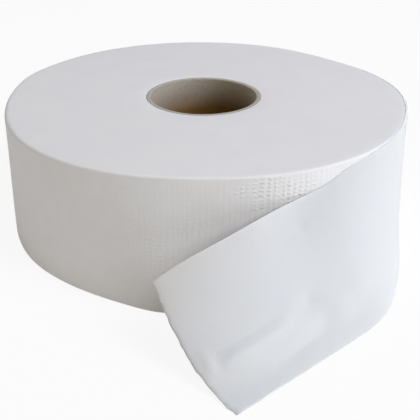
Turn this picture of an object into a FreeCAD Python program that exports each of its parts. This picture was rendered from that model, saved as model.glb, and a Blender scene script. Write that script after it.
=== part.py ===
"""Jumbo toilet paper roll standing on its end, with its free end pulled out and leaning back on the roll.

Two pieces: the paper web (wound turns, loose outer turn and tail are one sheet) and the cardboard core.
Millimetres and degrees. +Z is up, the origin is on the roll's axis at the surface it stands on, and
the tail is pulled out towards -Y. A heading of 0 points along -Y and grows towards -X.
"""
import FreeCAD, Part
import math
import os

# Wound roll
roll_radius = 141.0
web_width = 90.0
sheet_thickness = 0.5

# Cardboard core
bore_radius = 38.0
core_wall = 3.0
core_clearance = 0.1

# Loose outermost turn: where it lifts off, how much flatter it is, and how far it still clings
lift_angle = 42.6
loose_rise = 6.8
clinging_angle = 14.0

# Tail in plan: an open bend, a tighter bend, then a straight run to the torn end
open_bend_radius = 335.0
open_bend_turn = 22.5
front_bend_radius = 74.5
front_bend_turn = 26.3
straight_run = 106.6

# Tail across its width: it leans back on the roll, and its lower margin slides flat on the floor
lean_start_run = 31.3
resting_gap = 0.8
steepest_lean = 80.0
lean_growth = 1.1
end_skew = -13.3
skew_growth = 2.0
flare_fade = 1.65

# Torn end: a little askew, longer at its upper corner
tear_askew = 20.0

# How finely the leaning sheet is laid out
sheet_columns = 30
sheet_rows = 10
lean_search_steps = 24

core_radius = bore_radius + core_wall
web_inner_radius = core_radius + core_clearance

# Plan of the tail as (radius, turn) for its under face, from where the outer turn lifts off
under_bends = (
    (roll_radius + loose_rise - sheet_thickness, math.radians(lift_angle)),
    (open_bend_radius - sheet_thickness, math.radians(open_bend_turn)),
    (front_bend_radius - sheet_thickness, math.radians(front_bend_turn)),
)
lift_run = under_bends[0][0] * under_bends[0][1]
lean_start = lift_run + lean_start_run
tail_length = sum(radius * turn for radius, turn in under_bends) + straight_run


def vector(x, y, z=0.0):
    return FreeCAD.Vector(x, y, z)


def polar(radius, angle):
    return vector(radius * math.cos(angle), radius * math.sin(angle))


def plan_point(run):
    """Under face of the sheet in plan, and its heading, at a distance along the sheet."""
    start = polar(roll_radius - sheet_thickness, math.radians(lift_angle))
    x, y = start.x, start.y
    heading = -math.radians(lift_angle)
    for radius, turn in under_bends:
        step = min(run, radius * turn)
        turned = heading + step / radius
        x += radius * (math.cos(turned) - math.cos(heading))
        y -= radius * (math.sin(turned) - math.sin(heading))
        heading = turned
        run -= step
    x -= math.sin(heading) * run
    y -= math.cos(heading) * run
    return vector(x, y), heading


def outward(heading):
    return vector(math.cos(heading), -math.sin(heading))


def sheet_column(run, end_lean):
    """Under face of the sheet from its lower to its upper edge, at a distance along the sheet."""
    foot, heading = plan_point(run)
    along = vector(-math.sin(heading), -math.cos(heading))
    away = outward(heading)
    share = max(0.0, (run - lean_start) / (tail_length - lean_start))
    lean = end_lean * share ** lean_growth
    skew = math.radians(end_skew) * share ** skew_growth
    flare = (0.5 * math.pi - end_lean) * share ** lean_growth
    row_height = web_width / sheet_rows
    points = [foot]
    for row in range(sheet_rows):
        height_share = (row + 0.5) / sheet_rows
        tilt = lean + flare * (1.0 - height_share) ** flare_fade
        step = (along * math.sin(skew)
                - away * (math.cos(skew) * math.sin(tilt))
                + vector(0, 0, math.cos(skew) * math.cos(tilt)))
        points.append(points[-1] + step * row_height)
    return points


def sheet_end(height_share):
    """Distance along the sheet at which it is torn off, at a share of the web's width."""
    return tail_length + tear_askew * height_share


def under_grid(end_lean):
    """Rows of points over the leaning part of the tail, from its start to the torn end."""
    grid = []
    for column in range(sheet_columns + 1):
        share = column / sheet_columns
        points = []
        for row in range(sheet_rows + 1):
            run = lean_start + share * (sheet_end(row / sheet_rows) - lean_start)
            points.append(sheet_column(run, end_lean)[row])
        grid.append(points)
    return grid


def resting_lean():
    """Lean at the torn end for which the sheet comes just as near to the roll as the resting gap."""
    low, high = 0.0, math.radians(steepest_lean)
    for _ in range(lean_search_steps):
        middle = 0.5 * (low + high)
        nearest = min(math.hypot(point.x, point.y) for column in under_grid(middle) for point in column)
        if nearest > roll_radius + resting_gap:
            low = middle
        else:
            high = middle
    print("lean at the torn end", round(math.degrees(low), 2))
    return low


def thickened(grid):
    """The same grid moved out by the sheet's thickness, square to the sheet."""
    last_column, last_row = len(grid) - 1, len(grid[0]) - 1
    moved = []
    for i, column in enumerate(grid):
        line = []
        for j, point in enumerate(column):
            along = grid[min(i + 1, last_column)][j] - grid[max(i - 1, 0)][j]
            across = column[min(j + 1, last_row)] - column[max(j - 1, 0)]
            if i == 0:
                normal = outward(plan_point(lean_start)[1])
            else:
                normal = across.cross(along).normalize()
            line.append(point + normal * sheet_thickness)
        moved.append(line)
    return moved


def surface_through(grid):
    surface = Part.BSplineSurface()
    surface.interpolate(grid)
    return surface


def border(surface):
    """The four edge curves of a sheet surface, in the same order for both faces."""
    u0, u1, v0, v1 = surface.bounds()
    return [surface.uIso(u0).toShape(), surface.uIso(u1).toShape(),
            surface.vIso(v0).toShape(), surface.vIso(v1).toShape()]


def leaning_tail():
    """The part of the tail that leans, as one thin solid between two smooth faces."""
    grid = under_grid(resting_lean())
    under = surface_through(grid)
    upper = surface_through(thickened(grid))
    faces = [under.toShape(), upper.toShape()]
    for low, high in zip(border(under), border(upper)):
        faces.append(Part.makeRuledSurface(low, high))
    shell = Part.makeShell(faces)
    shell.sewShape()
    solid = Part.makeSolid(shell)
    if solid.Volume < 0:
        solid.reverse()
    return solid


def arc(start, middle, end):
    return Part.Arc(start, middle, end).toShape()


def sheet_arc(run_from, run_to, offset):
    """An arc of the loose turn between two distances, on its under face or moved out by offset."""
    points = []
    for run in (run_from, 0.5 * (run_from + run_to), run_to):
        point, heading = plan_point(run)
        points.append(point + outward(heading) * offset)
    return arc(*points)


def wound_turns():
    """The wound roll with its loose outer turn, as one outline in plan raised to the web's width."""
    start_angle = math.radians(lift_angle)
    across = outward(-start_angle)
    quarter = sheet_thickness / 4.0
    # The outer turn is a spiral of two half circles that loses one sheet's thickness in a turn
    outer_half_centre = across * quarter
    outer_half_radius = roll_radius - quarter
    inner_half_centre = across * -quarter
    inner_half_radius = roll_radius - 3.0 * quarter
    cling_end = start_angle - math.radians(clinging_angle)
    cling_run = under_bends[0][0] * math.radians(clinging_angle)
    tip = inner_half_centre + polar(inner_half_radius, cling_end)
    far_side = start_angle - math.pi
    half_way = outer_half_centre + polar(outer_half_radius, far_side)
    outline = [
        arc(outer_half_centre + polar(outer_half_radius, start_angle),
            outer_half_centre + polar(outer_half_radius, start_angle + 0.5 * math.pi),
            half_way),
        arc(half_way,
            inner_half_centre + polar(inner_half_radius, 0.5 * (far_side + cling_end)),
            tip),
        Part.makeLine(tip, plan_point(cling_run)[0]),
        sheet_arc(cling_run, lift_run, 0.0),
        sheet_arc(lift_run, lean_start, 0.0),
    ]
    cap_foot, cap_heading = plan_point(lean_start)
    outline += [
        Part.makeLine(cap_foot, cap_foot + outward(cap_heading) * sheet_thickness),
        sheet_arc(lean_start, lift_run, sheet_thickness),
        sheet_arc(lift_run, 0.0, sheet_thickness),
    ]
    face = Part.Face(Part.Wire(outline))
    turns = face.extrude(vector(0, 0, web_width))
    hole = Part.makeCylinder(web_inner_radius, web_width)
    return turns.cut(hole)


def paper_roll():
    return wound_turns().fuse(leaning_tail()).removeSplitter()


def cardboard_core():
    tube = Part.makeCylinder(core_radius, web_width)
    return tube.cut(Part.makeCylinder(bore_radius, web_width))


def export(shape, name):
    solids = shape.Solids
    piece = solids[0] if len(solids) == 1 else Part.makeCompound(solids)
    piece.exportStep(os.path.join("parts", name + ".step"))
    box = piece.BoundBox
    print(name, "solids", len(solids), "valid", piece.isValid(), "volume", round(piece.Volume, 1),
          "box", [round(value, 2) for value in (box.XMin, box.YMin, box.ZMin, box.XMax, box.YMax, box.ZMax)])


os.makedirs("parts", exist_ok=True)
export(paper_roll(), "paper_roll")
export(cardboard_core(), "cardboard_core")
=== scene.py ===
import math

import bmesh
import bpy
import numpy as np
from mathutils import Matrix, Vector


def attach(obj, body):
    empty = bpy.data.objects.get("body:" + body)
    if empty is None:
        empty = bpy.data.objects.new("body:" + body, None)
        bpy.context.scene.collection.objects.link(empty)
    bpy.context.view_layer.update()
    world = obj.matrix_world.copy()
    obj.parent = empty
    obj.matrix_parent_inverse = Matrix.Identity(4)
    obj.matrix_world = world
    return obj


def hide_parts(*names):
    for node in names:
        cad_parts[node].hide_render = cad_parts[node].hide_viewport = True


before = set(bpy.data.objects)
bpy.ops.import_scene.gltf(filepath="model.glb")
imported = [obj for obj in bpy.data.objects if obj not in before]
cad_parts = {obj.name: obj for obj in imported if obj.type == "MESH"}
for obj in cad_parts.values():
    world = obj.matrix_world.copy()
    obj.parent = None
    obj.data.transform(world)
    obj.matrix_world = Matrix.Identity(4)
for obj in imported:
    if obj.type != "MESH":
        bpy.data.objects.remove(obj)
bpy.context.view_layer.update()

# Everything below is worked out in millimetres and scaled to metres when a mesh is made.
# A range of four numbers says where something starts, is full, begins to fade and is gone.
MM = 0.001

# Sizes repeated from the CAD source
roll_radius = 141.0
web_width = 90.0
sheet_thickness = 0.5
bore_radius = 38.0
core_wall = 3.0
core_clearance = 0.1
core_radius = bore_radius + core_wall
web_inner_radius = core_radius + core_clearance
lift_angle = math.radians(42.6)
clinging_angle = math.radians(14.0)
loose_rise = 6.8
under_bends = (
    (roll_radius + loose_rise - sheet_thickness, lift_angle),
    (335.0 - sheet_thickness, math.radians(22.5)),
    (74.5 - sheet_thickness, math.radians(26.3)),
)
straight_run = 106.6
cling_run = under_bends[0][0] * clinging_angle
lift_run = under_bends[0][0] * lift_angle
lean_start = lift_run + 31.3
tail_length = sum(radius * turn for radius, turn in under_bends) + straight_run
end_lean = math.radians(35.11)
end_skew = math.radians(-13.3)
lean_growth = 1.1
skew_growth = 2.0
flare_fade = 1.65
tear_askew = 20.0

# How the limp sheet differs from the CAD's: softer bends, and its upper margin held by the roll
plan_step = 0.5
bend_softness = 13.0
lean_steps = 16
hug_slack = ((0.0, 0.0), (36.0, 0.03), (140.0, 0.06), (180.0, 0.03), (300.0, 0.03))
hug_step = 2.0
hug_close = 60.0
hug_fades = 268.0
hug_ends = 330.0
upper_margin = 1.6
margin_settles = 20.0
drape_fades = 140.0
drape_ends = 190.0
drawn_up = 1.9
drawn_up_run = 232.0
drawn_up_reach = 36.0

# Between the floor and its leaning edge the sheet bows out, towards the photo's camera
sheet_bow = 8.0
bow_start = 230.0
bow_foot = 0.45
bow_forwards = 0.884
bow_upwards = 0.468

# The torn end: its upper corner is pulled up and out, and its very edge is thinner and frayed
corner_rise = 4.0
corner_rise_runs = (340.0, 400.0)
corner_reach = 1.4
tear_fray = 0.4
fray_waves = (7.1, 9.3, 13.7, 31.0)
fray_starts = 0.9
tear_thinned = 0.7
tear_thins_from = 0.985

# Main crease near the torn end and the kink where the sheet comes down on the floor: distances along
# the sheet, then place and half widths as shares of the web's width
crease_runs = (316.0, 330.0, 362.0, 376.0)
crease_height = 1.7
crease_share = 0.345
crease_middle_run = 345.0
crease_climb = 0.0002
crease_above = 0.022
crease_below = 0.06
kink_runs = (292.0, 310.0, 335.0, 352.0)
kink_depth = 1.2
kink_share = 0.125
kink_half = 0.035

# Soft dents: distance along and share of the width, their half widths, and how far they stand off
soft_dents = (
    (285.0, 0.27, 14.0, 0.09, 1.6), (262.0, 0.30, 10.0, 0.07, 1.2), (306.0, 0.37, 7.0, 0.05, -1.3),
    (299.0, 0.20, 8.0, 0.05, -1.3), (276.0, 0.12, 9.0, 0.04, -0.9), (297.0, 0.80, 5.0, 0.03, -0.9),
    (380.0, 0.38, 4.0, 0.09, 0.8),
)

# Where the hand-wound roll swells (+) or is flat (-), near its upper rim and near its base:
# direction and half width in degrees, and how far
rim_swells = (
    (4.0, 18.0, 4.3), (43.0, 20.0, -4.0), (78.0, 20.0, -1.0), (125.0, 28.0, 0.9), (161.0, 10.0, 1.6),
    (190.0, 20.0, -1.2), (232.0, 20.0, 0.4), (269.0, 17.0, -2.6), (322.0, 28.0, 1.9),
)
base_swells = ((213.0, 14.0, 1.2), (238.0, 11.0, -0.5), (260.0, 9.0, 3.2))

# Rims of the web. Directions and half widths are in degrees.
covered_directions = (296.0, 322.0, 402.6, 402.7)
rim_radius_plain = 1.2
rim_radius_worn = 1.7
worn_place = (192.0, 32.0)
rim_radius_covered = 0.3
sheet_edge_radius = 0.45
under_edge_share = 0.1
inner_rim = 0.5
inner_rim_bulge = 0.15
drape_reach = 2.6
drape_depth = 0.5
drape_depth_right = 1.9
drape_right_place = (2.0, 16.0)
end_face_margin = 4.6
end_dip = 0.9
end_dip_place = (212.0, 34.0)

# Crepe ribs. Each share is a direction round the roll in degrees, and how much of the height shows there.
rib_pitch = 3.3
rib_height = 0.11
rib_wander = 1.3
rib_slant = 0.04
rib_unevenness = 0.4
finer_rib_ratio = 2.4
finer_rib_share = 0.3
rib_fade = 12.0
rib_margin = 4.0
rib_share_at_rims = 0.25
rib_shares = (
    (42.0, 0.6), (150.0, 0.6), (190.0, 0.2), (245.0, 0.2), (262.0, 0.35), (278.0, 0.7), (292.0, 1.8),
    (306.0, 2.6), (313.0, 1.6), (321.0, 0.0), (400.0, 0.0),
)

# How finely the web is laid out
middle_rows = 26
bend_rows = 3
upper_rows = (0.022, 0.014, 0.009, 0.004)
cling_step = 1.5
upright_columns = 70
leaning_columns = 190
columns_per_rib = 5.0
ring_shares = (0.0, 0.06, 0.3, 0.62, 0.9)

# Cardboard core
core_columns = 192
core_rows = 40
core_rim_heights = (0.0, 0.12, 0.4)
core_rim_insets = (0.4, 0.15, 0.0)
strip_width = 70.0
joint_half_width = 0.5
joint_depth = 0.28
core_wobble = 0.12


def smooth(x, low, high):
    """0 below low, 1 above high, and a smooth step between."""
    s = np.clip((np.asarray(x, float) - low) / (high - low), 0.0, 1.0)
    return s * s * (3.0 - 2.0 * s)


def stretch(x, start, full, fading, gone):
    """1 over the middle of a stretch, with a smooth start and end."""
    return smooth(x, start, full) * (1.0 - smooth(x, fading, gone))


def bell(x, centre, half_width):
    return np.exp(-((np.asarray(x, float) - centre) / half_width) ** 2)


def near(angle, direction, half_width):
    """1 in one direction round the roll, falling off on both sides of it; the last two are in degrees."""
    away = (np.degrees(angle) - direction + 180.0) % 360.0 - 180.0
    return bell(away, 0.0, half_width)


def ripple(x, wavelengths, seed):
    """A smooth, seeded curve of several wavelengths, about 1 high."""
    rng = np.random.default_rng(seed)
    total = np.zeros_like(np.asarray(x, float))
    for wavelength in wavelengths:
        total = total + np.sin(2.0 * math.pi * x / wavelength + rng.uniform(0.0, 2.0 * math.pi))
    return total / math.sqrt(len(wavelengths))


# The roll in plan

def body_radius(angle, share_up):
    """Outer turn's radius at angles from the lift-off angle round to the crack under the loose turn."""
    lost = sheet_thickness * (angle - lift_angle) / (2.0 * math.pi)
    upper = sum(rise * near(angle, direction, half_width) for direction, half_width, rise in rim_swells)
    lower = sum(rise * near(angle, direction, half_width) for direction, half_width, rise in base_swells)
    return roll_radius + lower + (upper - lower) * smooth(share_up, 0.0, 1.0) - lost


def covered(angle):
    """1 where the tail still lies against the roll's rim, 0 elsewhere."""
    return stretch(np.degrees(angle), *covered_directions)


def rim_radius(angle):
    """How round the web's edge is: worn at the left, and sharper where the tail covers it."""
    free = rim_radius_plain + rim_radius_worn * near(angle, *worn_place)
    return free + (rim_radius_covered - free) * covered(angle)


def drape(angle, height):
    """How far the covered rim and the sheet over it are rounded inwards, together."""
    share = np.clip((height - web_width + drape_reach) / drape_reach, 0.0, 1.0)
    depth = drape_depth + drape_depth_right * near(angle, *drape_right_place)
    return depth * share ** 2 * covered(angle)


def ribs(arc, height):
    """Crepe ribs across the web, narrow and uneven, as a height at distances round the roll."""
    wander = rib_wander * ripple(arc + rib_slant * height, (19.0, 31.0, 53.0), 3)
    phase = 2.0 * math.pi * arc / rib_pitch + wander
    strength = 1.0 - rib_unevenness + rib_unevenness * ripple(arc + 0.25 * height, (13.0, 29.0, 71.0), 5)
    crest = (0.5 + 0.5 * np.sin(phase)) ** 3
    finer = finer_rib_share * np.sin(finer_rib_ratio * phase + 2.0 * ripple(arc, (27.0, 44.0), 9))
    return rib_height * np.maximum(strength, 0.0) * (crest + finer)


def rib_strength(angle):
    """How strongly the ribs show: most where the wall faces the light, and none under the sheet."""
    return np.interp(np.degrees(angle), *zip(*rib_shares))


# The sheet

def plan_table():
    """The tail's plan at even distances along it, its bends run into each other as limp paper does."""
    runs = np.arange(0.0, tail_length + 2.0 * tear_askew, plan_step)
    curvature = np.zeros_like(runs)
    start = 0.0
    for radius, turn in under_bends:
        curvature[runs >= start] = 1.0 / radius
        start += radius * turn
        curvature[runs >= start] = 0.0
    reach = int(3.0 * bend_softness / plan_step)
    weights = bell(np.arange(-reach, reach + 1) * plan_step, 0.0, bend_softness)
    padded = np.concatenate([np.full(reach, curvature[0]), curvature, np.full(reach, curvature[-1])])
    curvature = np.convolve(padded, weights / weights.sum(), "valid")
    turned = np.cumsum(0.5 * (curvature[1:] + curvature[:-1])) * plan_step
    heading = -lift_angle + np.concatenate([[0.0], turned])
    middle = 0.5 * (heading[1:] + heading[:-1])
    start = roll_radius - sheet_thickness
    x = start * math.cos(lift_angle) - np.concatenate([[0.0], np.cumsum(np.sin(middle))]) * plan_step
    y = start * math.sin(lift_angle) - np.concatenate([[0.0], np.cumsum(np.cos(middle))]) * plan_step
    return runs, x, y, heading


def plan(run):
    """Under face of the sheet in plan, and its heading, at distances along the sheet."""
    runs, x, y, heading = plan_curve
    return np.interp(run, runs, x), np.interp(run, runs, y), np.interp(run, runs, heading)


def free_face(run, share_up):
    """Points of the sheet's under face as it would stand by itself."""
    run, share_up = np.broadcast_arrays(np.asarray(run, float), np.asarray(share_up, float))
    x, y, heading = plan(run)
    zero = np.zeros_like(x)
    along = np.stack([-np.sin(heading), -np.cos(heading), zero], -1)
    away = np.stack([np.cos(heading), -np.sin(heading), zero], -1)
    up = np.stack([zero, zero, zero + 1.0], -1)
    share = np.maximum(0.0, (run - lean_start) / (tail_length - lean_start))
    lean = end_lean * share ** lean_growth
    skew = end_skew * share ** skew_growth
    flare = (0.5 * math.pi - end_lean) * share ** lean_growth
    points = np.stack([x, y, zero], -1)
    for k in range(lean_steps):
        level = share_up * (k + 0.5) / lean_steps
        tilt = lean + flare * (1.0 - level) ** flare_fade
        step = (along * np.sin(skew)[..., None]
                - away * (np.cos(skew) * np.sin(tilt))[..., None]
                + up * (np.cos(skew) * np.cos(tilt))[..., None])
        points = points + step * (share_up * web_width / lean_steps)[..., None]
    return points


def turn_angle(points):
    """Angle of points round the roll, counted on from the lift-off as the outer turn's is."""
    return np.arctan2(points[..., 1], points[..., 0]) + 2.0 * math.pi


def slack(run):
    """How far the sheet stands off the roll where the roll holds it."""
    return np.interp(run, *zip(*hug_slack))


def still_held(run):
    """1 where the roll holds the sheet's upper margin, 0 from where the sheet is free."""
    return 1.0 - smooth(run, hug_fades, hug_ends)


def hug_table():
    """How far the free sheet's upper edge is from where the roll holds it, at distances along it."""
    runs = np.arange(0.0, tail_length, hug_step)
    edge = free_face(runs, 1.0)
    radius = np.hypot(edge[:, 0], edge[:, 1])
    return runs, (body_radius(turn_angle(edge), 1.0) + slack(runs) - radius) * still_held(runs)


def bow(run, share_up):
    """How far the sheet bows out, at most sheet_bow, and nothing at the floor and at a held margin."""
    length = tail_length + tear_askew * share_up - bow_start
    share = np.clip((run - bow_start) / length, 0.0, 1.05)
    across = smooth(share_up, 0.0, bow_foot) * (1.0 - share_up ** 2 * still_held(run))
    return sheet_bow * 4.0 * (share ** 2 - share ** 4) * across


def under_face(run, share_up):
    """Points of the sheet's under face at distances along it and shares of its width."""
    run, share_up = np.broadcast_arrays(np.asarray(run, float), np.asarray(share_up, float))
    points = free_face(run, share_up)
    radius = np.hypot(points[..., 0], points[..., 1])
    angle = turn_angle(points)
    # The roll holds the whole width at first, and further on only the upper margin
    margin = np.maximum(share_up, 1e-6) ** (upper_margin * smooth(run, lift_run, lean_start + margin_settles))
    pull = np.interp(run, *hug_curve) * margin
    # Where the loose turn still clings it follows the roll over the whole width
    close = 1.0 - smooth(run, hug_close, lift_run)
    pull = pull + (body_radius(angle, share_up) + slack(run) - radius - pull) * close
    draped = (1.0 - smooth(run, drape_fades, drape_ends)) * drape(angle, share_up * web_width)
    grown = 1.0 + (pull - draped) / radius
    points[..., :2] *= grown[..., None]
    bowed = bow(run, share_up)
    points[..., 1] -= bow_forwards * bowed
    points[..., 2] += bow_upwards * bowed
    points[..., 2] += corner_rise * smooth(run, *corner_rise_runs) * share_up ** 3
    # Damp paper stretches a little where it is drawn over the rim
    points[..., 2] += drawn_up * bell(run, drawn_up_run, drawn_up_reach) * share_up ** 2
    return points


def wrinkles(run, share_up):
    """How far the limp tail's wrinkles stand off its smooth shape."""
    # The main crease is steep on its upper side
    offset = share_up - (crease_share + crease_climb * (run - crease_middle_run))
    crease = np.where(offset > 0.0, bell(offset, 0.0, crease_above), bell(offset, 0.0, crease_below))
    height = crease_height * stretch(run, *crease_runs) * crease
    height = height - kink_depth * stretch(run, *kink_runs) * bell(share_up, kink_share, kink_half)
    for centre_run, centre_up, half_run, half_up, rise in soft_dents:
        height = height + rise * bell(run, centre_run, half_run) * bell(share_up, centre_up, half_up)
    return height


plan_curve = plan_table()
hug_curve = hug_table()


# Meshes

def make_mesh(name, verts_mm, faces):
    mesh = bpy.data.meshes.new(name)
    mesh.from_pydata([tuple(v) for v in np.asarray(verts_mm) * MM], [], faces)
    mesh.update()
    edit = bmesh.new()
    edit.from_mesh(mesh)
    bmesh.ops.recalc_face_normals(edit, faces=edit.faces)
    edit.to_mesh(mesh)
    edit.free()
    for polygon in mesh.polygons:
        polygon.use_smooth = True
    piece = bpy.data.objects.new(name, mesh)
    bpy.context.scene.collection.objects.link(piece)
    return piece


def rim_rows(edge_radius):
    """Widths along columns and insets from their face, for columns with rounded ends."""
    edge_radius = np.asarray(edge_radius, float)[:, None]
    bend = np.linspace(0.0, 0.5 * math.pi, bend_rows + 1)
    middle = np.linspace(0.0, 1.0, middle_rows + 1)[1:-1]
    middle = np.concatenate([middle, 1.0 - np.array(upper_rows)])
    lower = edge_radius * (1.0 - np.cos(bend))
    inset = edge_radius * (1.0 - np.sin(bend))
    along = np.concatenate([lower, edge_radius + (web_width - 2.0 * edge_radius) * middle,
                            web_width - lower[:, ::-1]], 1)
    return along, np.concatenate([inset, np.zeros((len(edge_radius), len(middle))), inset[:, ::-1]], 1)


def clinging_runs():
    """Distances along the stretch of the loose turn that still lies against the roll."""
    runs = np.arange(0.0, cling_run, cling_step)
    return np.append(runs[:-1], cling_run)


def sheet_columns(is_outer):
    """Columns of points of one face of the sheet, and their places on the web."""
    upright = np.linspace(cling_run, lean_start, upright_columns)[1:]
    leaning = np.linspace(0.0, 1.0, leaning_columns)[1:]
    stations = np.concatenate([clinging_runs() if is_outer else [cling_run], upright,
                               np.full(len(leaning), lean_start)])
    shares = np.concatenate([np.zeros(len(stations) - len(leaning)), leaning])[:, None]
    start_rim = float(rim_radius(lift_angle))
    along, inset = rim_rows(start_rim + (sheet_edge_radius - start_rim) * smooth(stations, 0.0, cling_run))
    up = along / web_width
    fray = tear_fray * ripple(along, fray_waves, 11) * smooth(shares, fray_starts, 1.0)
    end = tail_length + tear_askew * up + corner_reach * up ** 8 + fray
    runs = stations[:, None] + shares * (end - lean_start)

    # The sheet's outward direction, from its slopes along and across
    d_run = 0.5
    d_up = 0.004
    ahead = under_face(runs + d_run, up)
    behind = under_face(runs - d_run, up)
    above = under_face(runs, np.minimum(up + d_up, 1.0))
    below = under_face(runs, np.maximum(up - d_up, 0.0))
    normal = np.cross(above - below, ahead - behind)
    normal /= np.linalg.norm(normal, axis=-1, keepdims=True)

    thickness = sheet_thickness * (1.0 - tear_thinned * smooth(shares, tear_thins_from, 1.0))
    offset = wrinkles(runs, up) + (thickness - inset if is_outer else under_edge_share * inset)
    points = under_face(runs, up) + normal * offset[..., None]
    points[..., 2] = np.maximum(points[..., 2], 0.0)
    return points, np.stack([runs, along], -1)


def wall_columns():
    """Columns of points of the roll's own wall, from the lift-off round to the crack, and their places."""
    crack = under_face(cling_run, 1.0)
    crack_angle = 2.0 * math.pi + math.atan2(crack[1], crack[0])
    count = int(round(roll_radius * (crack_angle - lift_angle) / (rib_pitch / columns_per_rib)))
    angles = np.linspace(lift_angle, crack_angle, count + 1)[1:]
    along, inset = rim_rows(rim_radius(angles))
    radius = body_radius(angles[:, None], along / web_width) - inset - drape(angles[:, None], along)
    arc = (angles - lift_angle) * roll_radius
    fade = smooth(arc, 0.0, rib_fade) * rib_strength(angles)
    flat = stretch(along, 0.0, rib_margin, web_width - rib_margin, web_width)
    shown = fade[:, None] * (rib_share_at_rims + (1.0 - rib_share_at_rims) * flat)
    radius = radius + ribs(arc[:, None], along) * shown
    points = np.stack([radius * np.cos(angles)[:, None], radius * np.sin(angles)[:, None], along], -1)
    return points, np.stack([np.broadcast_to(-arc[:, None], radius.shape), along], -1)


# Order of the web's materials
FACE, ENDS, TAIL = 0, 1, 2


class Surface:
    """Points, places on the web and faces of one closed mesh."""

    def __init__(self):
        self.points = []
        self.places = []
        self.faces = []
        self.kinds = []
        self.count = 0

    def add_points(self, points, places):
        """Adds points and returns their numbers."""
        self.points.append(points.reshape(-1, 3))
        self.places.append(places.reshape(-1, 2))
        start = self.count
        self.count += len(self.points[-1])
        return np.arange(start, self.count).reshape(points.shape[:-1]).tolist()

    def add_ring(self, radii, angles, z):
        x = radii * np.cos(angles)
        y = radii * np.sin(angles)
        return self.add_points(np.stack([x, y, np.full(len(angles), z)], -1), np.stack([x, y], -1))

    def add_face(self, kind, *corners):
        self.faces.append(corners)
        self.kinds.append(kind)

    def bridge(self, kind, ring_a, ring_b):
        """Adds the faces between two closed rings of points."""
        for i in range(len(ring_a)):
            k = (i + 1) % len(ring_a)
            self.add_face(kind, ring_a[i], ring_a[k], ring_b[k], ring_b[i])


def add_sheet_and_wall(web, columns, first, last):
    """Adds the faces of a closed loop of columns. Those before first and from last on are the tail's."""
    rows = len(columns[0])
    for i, (here, ahead) in enumerate(zip(columns, columns[1:] + columns[:1])):
        kind = TAIL if i < first or i >= last else FACE
        for j in range(rows - 1):
            web.add_face(kind, here[j], ahead[j], ahead[j + 1], here[j + 1])
    # Edges of the free sheet: an outer column pairs with the under column as far from the loop's other end
    for row in (0, rows - 1):
        for i in range(first):
            web.add_face(TAIL, columns[i][row], columns[i + 1][row],
                         columns[-2 - i][row], columns[-1 - i][row])


def add_end_face(web, edge, angles, rim, z, inwards):
    """Adds rings from the roll's edge in to the hole, and returns the innermost one.

    The edge runs from the crack's end on the outer face, round the roll, to its end on the under face.
    """
    inner = web_inner_radius + inner_rim
    corner = inner_rim_bulge * inner_rim
    steps = [(rim + (inner - rim) * share, 0.0) for share in ring_shares]
    # The hole's edge is rounded
    steps += [(inner, 0.0), (web_inner_radius + corner, corner), (web_inner_radius, inner_rim)]
    rings = [web.add_ring(radii, angles, z + inwards * depth) for radii, depth in steps]
    outmost = rings[0]
    for i in range(len(outmost)):
        k = (i + 1) % len(outmost)
        web.add_face(ENDS, edge[i], edge[i + 1], outmost[k], outmost[i])
    # The crack's three corners are fanned into one point of the outmost ring
    web.add_face(ENDS, edge[-2], edge[-1], outmost[0])
    web.add_face(ENDS, edge[-1], edge[0], outmost[0])
    for ring_a, ring_b in zip(rings, rings[1:]):
        web.bridge(ENDS, ring_a, ring_b)
    return rings[-1]


def paper_mesh():
    """The web as one closed mesh: wound turns, loose outer turn, tail and torn end."""
    outer, outer_places = sheet_columns(True)
    under, under_places = sheet_columns(False)
    wall, wall_places = wall_columns()

    # The closed loop of columns: torn end, back along the outer face, round the roll, out on the under face
    loop = np.concatenate([outer[::-1], wall, under])
    web = Surface()
    columns = web.add_points(loop, np.concatenate([outer_places[::-1], wall_places, under_places]))
    first = len(outer) - len(clinging_runs())
    last = len(loop) - len(under)
    add_sheet_and_wall(web, columns, first, last)

    # The end faces follow the roll's outline at half its height
    middle = loop[first:last - 1, loop.shape[1] // 2]
    angles = np.arctan2(middle[:, 1], middle[:, 0])
    rim = np.hypot(middle[:, 0], middle[:, 1]) - end_face_margin
    hole_rings = []
    for row, z, inwards in ((0, 0.0, 1.0), (-1, web_width, -1.0)):
        edge = [column[row] for column in columns[first:last + 1]]
        hole_rings.append(add_end_face(web, edge, angles, rim, z, inwards))
    web.bridge(ENDS, *hole_rings)

    points = np.concatenate(web.points)
    # The upper end face dips a little at the left; the sheet itself lies outside that stretch
    angle = np.arctan2(points[:, 1], points[:, 0])
    outwards = np.hypot(points[:, 0], points[:, 1]) / roll_radius
    points[:, 2] *= 1.0 - end_dip / web_width * near(angle, *end_dip_place) * outwards ** 2
    piece = make_mesh("paper_web", points, web.faces)
    mesh = piece.data
    corner_points = np.zeros(len(mesh.loops), int)
    mesh.loops.foreach_get("vertex_index", corner_points)
    uv_layer = mesh.uv_layers.new(name="web")
    uv_layer.data.foreach_set("uv", (np.concatenate(web.places) * MM)[corner_points].ravel())
    mesh.polygons.foreach_set("material_index", web.kinds)
    return piece


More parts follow.
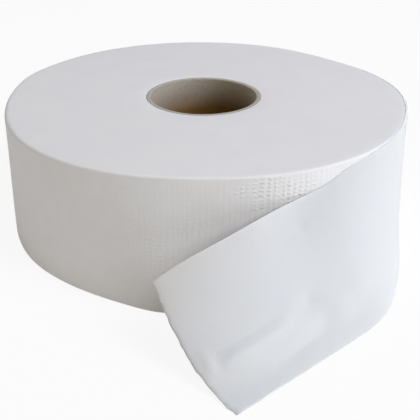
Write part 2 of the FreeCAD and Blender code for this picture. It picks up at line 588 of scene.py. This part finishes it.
def core_mesh():
    """Spirally wound tube: two closed walls, the inner one with a helical butt joint pressed into it."""
    low = np.array(core_rim_heights)
    high = web_width - low[::-1]
    z = np.concatenate([low, np.linspace(1.0, web_width - 1.0, core_rows), high])
    rounding = np.interp(z, np.concatenate([low, high]), core_rim_insets + core_rim_insets[::-1])
    angle = np.linspace(0.0, 2.0 * math.pi, core_columns, endpoint=False)
    # The strip climbs by its own width in one turn, so the joint is a single helix
    position = (z[None, :] + strip_width * angle[:, None] / (2.0 * math.pi)) % strip_width
    joint = joint_depth * bell(np.minimum(position, strip_width - position), 0.0, joint_half_width)
    # Two, three and six waves go round the bore
    wobble = core_wobble * ripple(angle * 40.0, (83.8, 41.9, 125.7), 8)
    inside = bore_radius + rounding[None, :] + joint + wobble[:, None]
    outside = core_radius - rounding[None, :] + np.zeros((core_columns, 1))
    verts = []
    for radius in (outside, inside):
        verts.append(np.stack([radius * np.cos(angle)[:, None], radius * np.sin(angle)[:, None],
                               np.broadcast_to(z, radius.shape)], -1).reshape(-1, 3))
    rows = len(z)
    count = core_columns * rows
    faces = []
    for i in range(core_columns):
        k = (i + 1) % core_columns
        for j in range(rows - 1):
            for start in (0, count):
                faces.append((start + i * rows + j, start + k * rows + j,
                              start + k * rows + j + 1, start + i * rows + j + 1))
        for j in (0, rows - 1):
            faces.append((i * rows + j, k * rows + j, count + k * rows + j, count + i * rows + j))
    return make_mesh("core_tube", np.concatenate(verts), faces)


# Materials. Distances in them are in metres, and the UV map gives a place on the web: distance along
# it (positive along the tail, negative round the wound turn) and distance across it.

# Embossed dashes: pitches, depth, and the patch by the rim where they are pressed in most
dash_pitch_along = 0.0040
dash_pitch_across = 0.0027
dash_depth = 0.00032
patch_place = (-0.604, 0.080)
patch_half_size = (0.030, 0.016)

# Where the tail lets light through, where painted shade greys it towards its torn upper corner, and where
# painted shade darkens the turn that the tail covers and that shows above its upper edge
light_comes_through = (0.045, 0.115)
painted_shade_along = (0.25, 0.37)
painted_shade_across = (0.02, 0.085)
painted_shade_band = (-0.655, -0.70)

turn_spacing = 0.0011
# Heights in the hole where the core's painted shade below turns into painted light above
core_painted_light_heights = (0.066, 0.089)


class Nodes:
    """Short names for building a node tree."""

    def __init__(self, name):
        self.material = bpy.data.materials.new(name)
        self.material.use_nodes = True
        self.tree = self.material.node_tree
        self.tree.nodes.clear()
        self.output = self.tree.nodes.new("ShaderNodeOutputMaterial")

    def set_inputs(self, node, inputs):
        for key, value in inputs.items():
            if isinstance(value, bpy.types.NodeSocket):
                self.tree.links.new(value, node.inputs[key])
            else:
                node.inputs[key].default_value = value

    def add(self, kind, inputs=None, **settings):
        node = self.tree.nodes.new(kind)
        for key, value in settings.items():
            setattr(node, key, value)
        self.set_inputs(node, inputs or {})
        return node

    def coordinate(self, name):
        return self.add("ShaderNodeTexCoord").outputs[name]

    def math(self, operation, a, b=0.0):
        return self.add("ShaderNodeMath", {0: a, 1: b}, operation=operation).outputs[0]

    def add_up(self, a, b):
        return self.math("ADD", a, b)

    def times(self, a, b):
        return self.math("MULTIPLY", a, b)

    def wave(self, value, pitch):
        return self.math("SINE", self.times(value, 2.0 * math.pi / pitch))

    def length_squared(self, a, b):
        return self.add_up(self.times(a, a), self.times(b, b))

    def parts(self, vector):
        return self.add("ShaderNodeSeparateXYZ", {"Vector": vector}).outputs

    def stretched(self, vector, *scale):
        return self.add("ShaderNodeMapping", {"Vector": vector, "Scale": scale}).outputs[0]

    def spread(self, value, low, high, to_low=0.0, to_high=1.0):
        return self.add("ShaderNodeMapRange", {"Value": value, "From Min": low, "From Max": high,
                                               "To Min": to_low, "To Max": to_high}).outputs[0]

    def noise(self, vector, scale, detail=2.0, roughness=0.5):
        return self.add("ShaderNodeTexNoise", {"Vector": vector, "Scale": scale, "Detail": detail,
                                               "Roughness": roughness}).outputs["Fac"]

    def mix(self, share, a, b):
        node = self.add("ShaderNodeMix", data_type="RGBA")
        self.set_inputs(node, {0: share, 6: a, 7: b})
        return node.outputs[2]

    def clouded(self, place, scale, a, b):
        """A colour that drifts between two shades."""
        return self.mix(self.spread(self.noise(place, scale, 3.0), 0.35, 0.65), a, b)

    def bump(self, height, distance, normal=None):
        inputs = {"Height": height, "Distance": distance, "Strength": 1.0}
        if normal is not None:
            inputs["Normal"] = normal
        return self.add("ShaderNodeBump", inputs).outputs[0]

    def finish(self, inputs):
        shader = self.add("ShaderNodeBsdfPrincipled", inputs)
        self.tree.links.new(shader.outputs[0], self.output.inputs["Surface"])
        return self.material


def srgb(red, green, blue):
    def linear(c):
        c /= 255.0
        return c / 12.92 if c <= 0.04045 else ((c + 0.055) / 1.055) ** 2.4
    return (linear(red), linear(green), linear(blue), 1.0)


def embossed(n, along, across, place, normal):
    """Embossed dashes, pressed in more deeply in some patches than in others."""
    shaken = n.add_up(along, n.times(n.noise(place, 60.0, 2.0), 0.006))
    raised = n.add_up(across, n.times(n.noise(place, 110.0, 1.0), 0.003))
    dashes = n.times(n.spread(n.wave(shaken, dash_pitch_along), -0.6, 0.2),
                     n.spread(n.wave(raised, dash_pitch_across), 0.2, 0.9))
    patches = n.spread(n.noise(place, 32.0, 2.0), 0.45, 0.65, 0.0, 0.25)
    # The patch by the rim, by the distance from its centre in its own half widths, squared
    off_centre = [n.times(n.add_up(value, -centre), 1.0 / half)
                  for value, centre, half in zip((along, across), patch_place, patch_half_size)]
    inside = n.spread(n.length_squared(*off_centre), 0.3, 1.0, 1.0, 0.0)
    pressed = n.times(inside, n.spread(n.noise(place, 90.0, 1.0), 0.4, 0.55, 0.3, 1.0))
    depth = n.math("MAXIMUM", patches, pressed)
    return n.bump(n.times(dashes, n.times(depth, -1.0)), dash_depth, normal)


def tissue_face(name, thin):
    """The web's face, with painted shade on the turn by the tail's upper edge. The single sheet of the tail
    also lets light through, and has painted shade towards its torn upper corner.
    """
    n = Nodes(name)
    web = n.coordinate("UV")
    place = n.coordinate("Object")
    along, across = n.parts(web)[:2]
    fibre = n.noise(place, 1400.0, 3.0, 0.6)
    crepe = n.noise(n.stretched(web, 1500.0, 120.0, 1.0), 1.0)
    normal = n.bump(n.add_up(n.times(fibre, 0.5), n.times(crepe, 0.7)), 0.00012)
    colour = n.clouded(place, 90.0, srgb(233, 235, 238), srgb(235, 237, 240))
    inputs = {"Roughness": 0.95, "Specular IOR Level": 0.15, "Sheen Weight": 0.08, "Sheen Roughness": 0.6}
    if thin:
        free = n.spread(along, *light_comes_through)
        colour = n.mix(free, colour, srgb(247, 250, 254))
        # Painted shade: greyer towards its torn upper corner, which faces away from the lamps
        corner = n.times(n.spread(along, *painted_shade_along), n.spread(across, *painted_shade_across))
        colour = n.mix(corner, colour, srgb(210, 211, 214))
        inputs.update({"Subsurface Weight": free, "Subsurface Radius": (1.17, 1.0, 0.86),
                       "Subsurface Scale": 0.0020})
    else:
        # Painted shade: the turn above and under the tail's upper edge is darker and a little bluer
        colour = n.mix(n.spread(along, *painted_shade_band), colour, srgb(222, 228, 236))
        normal = embossed(n, along, across, place, normal)
    inputs.update({"Base Color": colour, "Normal": normal})
    return n.finish(inputs)


def tissue_ends():
    """The web's end faces, with fine rings from the edges of the turns."""
    n = Nodes("tissue_ends")
    place = n.coordinate("Object")
    x, y = n.parts(place)[:2]
    radius = n.math("POWER", n.length_squared(x, y), 0.5)
    turns = n.wave(n.add_up(radius, n.times(n.noise(place, 25.0), 0.0016)), turn_spacing)
    fuzz = n.noise(place, 1300.0, 3.0, 0.6)
    normal = n.bump(n.add_up(n.times(turns, 0.05), n.times(fuzz, 0.6)), 0.00012)
    colour = n.clouded(place, 40.0, srgb(234, 235, 238), srgb(236, 237, 239))
    return n.finish({"Base Color": colour, "Roughness": 1.0, "Specular IOR Level": 0.1, "Normal": normal})


def core_board():
    """Board with darker specks. Painted light makes it greyer and paler near its upper end and towards the
    left, and painted shade makes it browner deep in the hole.
    """
    n = Nodes("core_board")
    place = n.coordinate("Object")
    specks = n.noise(n.stretched(place, 1.0, 1.0, 2.2), 520.0, 4.0, 0.65)
    cloudy = n.noise(place, 60.0, 3.0)
    x, _, z = n.parts(place)
    # Painted light reaches lower on the left, where the lamps shine into the hole; painted shade lies deeper
    # down
    height_in = n.math("SUBTRACT", z, n.times(x, 0.10))
    deep = n.mix(n.spread(cloudy, 0.35, 0.65), srgb(112, 83, 36), srgb(122, 93, 44))
    base = n.mix(n.spread(height_in, *core_painted_light_heights), deep, srgb(182, 177, 169))
    colour = n.mix(n.spread(specks, 0.52, 0.72, 0.0, 0.4), base, srgb(96, 78, 50))
    normal = n.bump(n.add_up(n.times(specks, 0.7), n.times(cloudy, 0.3)), 0.00015)
    return n.finish({"Base Color": colour, "Roughness": 0.85, "Specular IOR Level": 0.25, "Normal": normal})


# The two pieces

paper = paper_mesh()
paper.data.materials.append(tissue_face("tissue_face", False))
paper.data.materials.append(tissue_ends())
paper.data.materials.append(tissue_face("tissue_tail", True))
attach(paper, "root")
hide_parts("paper_roll")

core = core_mesh()
core.data.materials.append(core_board())
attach(core, "root")
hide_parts("cardboard_core")


# Floor, light and camera, in metres

floor_half_size = 6.0
floor_drop = 0.0004
floor_whiteness = 0.9
ambient_strength = 0.05
lamp_distance = 2.6
lamp_size = 1.38
lamp_target = Vector((0.0, 0.0, 0.03))
white = (1.0, 1.0, 1.0, 1.0)


def seen_directly(n):
    """1 for the camera and for what gloss and glass show, 0 where a surface only lights another."""
    path = n.add("ShaderNodeLightPath").outputs
    through = n.math("MAXIMUM", path["Is Glossy Ray"], path["Is Transmission Ray"])
    return n.math("MAXIMUM", path["Is Camera Ray"], through)


def floor_material():
    """Near white as seen, with the object's shadow kept by the diffuse share."""
    n = Nodes("floor_white")
    diffuse = n.add("ShaderNodeBsdfDiffuse", {"Color": (0.9, 0.9, 0.9, 1.0)})
    glow = n.add("ShaderNodeEmission", {"Color": white, "Strength": 1.0})
    share = n.times(seen_directly(n), floor_whiteness)
    blend = n.add("ShaderNodeMixShader", {0: share, 1: diffuse.outputs[0], 2: glow.outputs[0]})
    n.tree.links.new(blend.outputs[0], n.output.inputs["Surface"])
    return n.material


def add_floor():
    size = floor_half_size
    corners = [(-size, -size, 0), (size, -size, 0), (size, size, 0), (-size, size, 0)]
    mesh = bpy.data.meshes.new("floor")
    mesh.from_pydata(corners, [], [(0, 1, 2, 3)])
    mesh.materials.append(floor_material())
    floor = bpy.data.objects.new("floor", mesh)
    floor.location = (0, 0, -floor_drop)
    bpy.context.scene.collection.objects.link(floor)


def add_world():
    """Plain white as seen, and a faint light from all round."""
    world = bpy.data.worlds.new("studio")
    bpy.context.scene.world = world
    world.use_nodes = True
    tree = world.node_tree
    tree.nodes.clear()
    path = tree.nodes.new("ShaderNodeLightPath")
    seen = tree.nodes.new("ShaderNodeMath")
    seen.operation = "MAXIMUM"
    tree.links.new(path.outputs["Is Camera Ray"], seen.inputs[0])
    tree.links.new(path.outputs["Is Glossy Ray"], seen.inputs[1])
    blend = tree.nodes.new("ShaderNodeMixShader")
    tree.links.new(seen.outputs[0], blend.inputs[0])
    for slot, strength in ((1, ambient_strength), (2, 1.0)):
        background = tree.nodes.new("ShaderNodeBackground")
        background.inputs["Color"].default_value = white
        background.inputs["Strength"].default_value = strength
        tree.links.new(background.outputs[0], blend.inputs[slot])
    out = tree.nodes.new("ShaderNodeOutputWorld")
    tree.links.new(blend.outputs[0], out.inputs["Surface"])


def lamp(name, direction, elevation, power, colour):
    """A soft lamp that looks at the roll from a direction round it and above the floor, in degrees."""
    data = bpy.data.lights.new(name, "AREA")
    data.shape = "SQUARE"
    data.size = lamp_size
    data.energy = power
    data.color = colour
    obj = bpy.data.objects.new(name, data)
    around = math.radians(direction)
    above = math.radians(elevation)
    level = math.cos(above)
    towards = Vector((level * math.cos(around), level * math.sin(around), math.sin(above)))
    obj.location = lamp_target + towards * lamp_distance
    obj.rotation_euler = (-towards).to_track_quat("-Z", "Y").to_euler()
    bpy.context.scene.collection.objects.link(obj)


def add_camera():
    """The photo's camera, fitted to the roll's ellipses and silhouette."""
    data = bpy.data.cameras.new("camera")
    data.sensor_width = 36.0
    data.lens = 65.28
    camera = bpy.data.objects.new("camera", data)
    right = Vector((0.999963, -0.007877, 0.003466))
    up = Vector((0.000622, 0.467823, 0.883822))
    forward = Vector((0.008584, 0.883787, -0.467811))
    place = Vector((0.0, -3.71108, 1.93954)) * roll_radius * MM
    camera.matrix_world = Matrix((
        (right.x, up.x, -forward.x, place.x),
        (right.y, up.y, -forward.y, place.y),
        (right.z, up.z, -forward.z, place.z),
        (0.0, 0.0, 0.0, 1.0)))
    bpy.context.scene.collection.objects.link(camera)
    bpy.context.scene.camera = camera


add_floor()
add_world()
lamp("key_right", -30.0, 40.0, 45.5, (1.0, 0.99, 0.99))
lamp("key_high", -30.0, 60.0, 14.8, (0.86, 0.88, 1.0))
lamp("key_low", 0.0, 15.0, 5.0, (1.0, 1.0, 1.0))
lamp("fill_front", -120.0, 15.0, 8.4, (1.0, 0.8, 0.5))
lamp("fill_left", 180.0, 20.0, 9.2, (1.0, 0.98, 0.96))
lamp("fill_back", 120.0, 40.0, 9.3, (1.0, 1.0, 1.0))
add_camera()
bpy.context.scene.view_settings.view_transform = "Standard"
